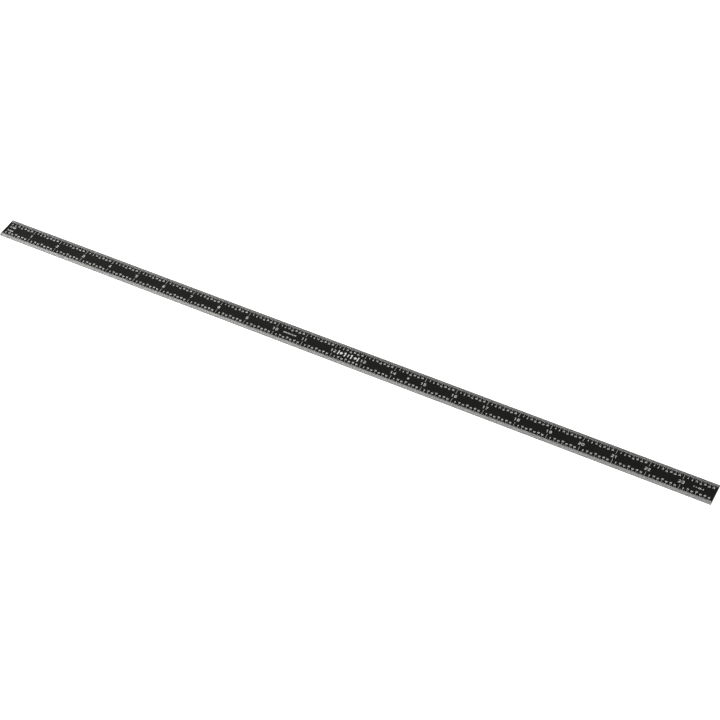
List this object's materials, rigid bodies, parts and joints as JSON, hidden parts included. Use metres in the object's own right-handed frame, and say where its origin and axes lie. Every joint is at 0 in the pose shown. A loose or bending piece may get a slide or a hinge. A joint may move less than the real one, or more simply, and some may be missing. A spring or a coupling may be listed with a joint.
{
  "type": "steel ruler",
  "caption": "Thin flexible straight steel ruler with a black face, fine white inch graduations along both long edges and white figures.",
  "frame": {"origin": "middle of the back face, the face the ruler rests on", "axes": "+X along the ruler from the zero end to the far end, +Y across it to the edge graduated in 32nds, +Z out of the graduated face"},
  "size_m": [0.6096, 0.019, 0.0005],
  "materials": {
    "black_spring_steel": "satin black chrome over spring steel, fine grain along the length",
    "white_enamel": "matte white enamel fill"
  },
  "bodies": {
    "root": {"spring_steel_blade": "black_spring_steel", "upper_edge_32nds_lines": "white_enamel", "upper_edge_32nds_figures": "white_enamel", "lower_edge_64ths_lines": "white_enamel", "lower_edge_64ths_figures": "white_enamel", "inch_figures": "white_enamel", "division_labels": "white_enamel", "size_label": "white_enamel", "full_scale_sign": "white_enamel", "plain_ring": "white_enamel", "inch_in_mm_label": "white_enamel"}
  },
  "joints": []
}
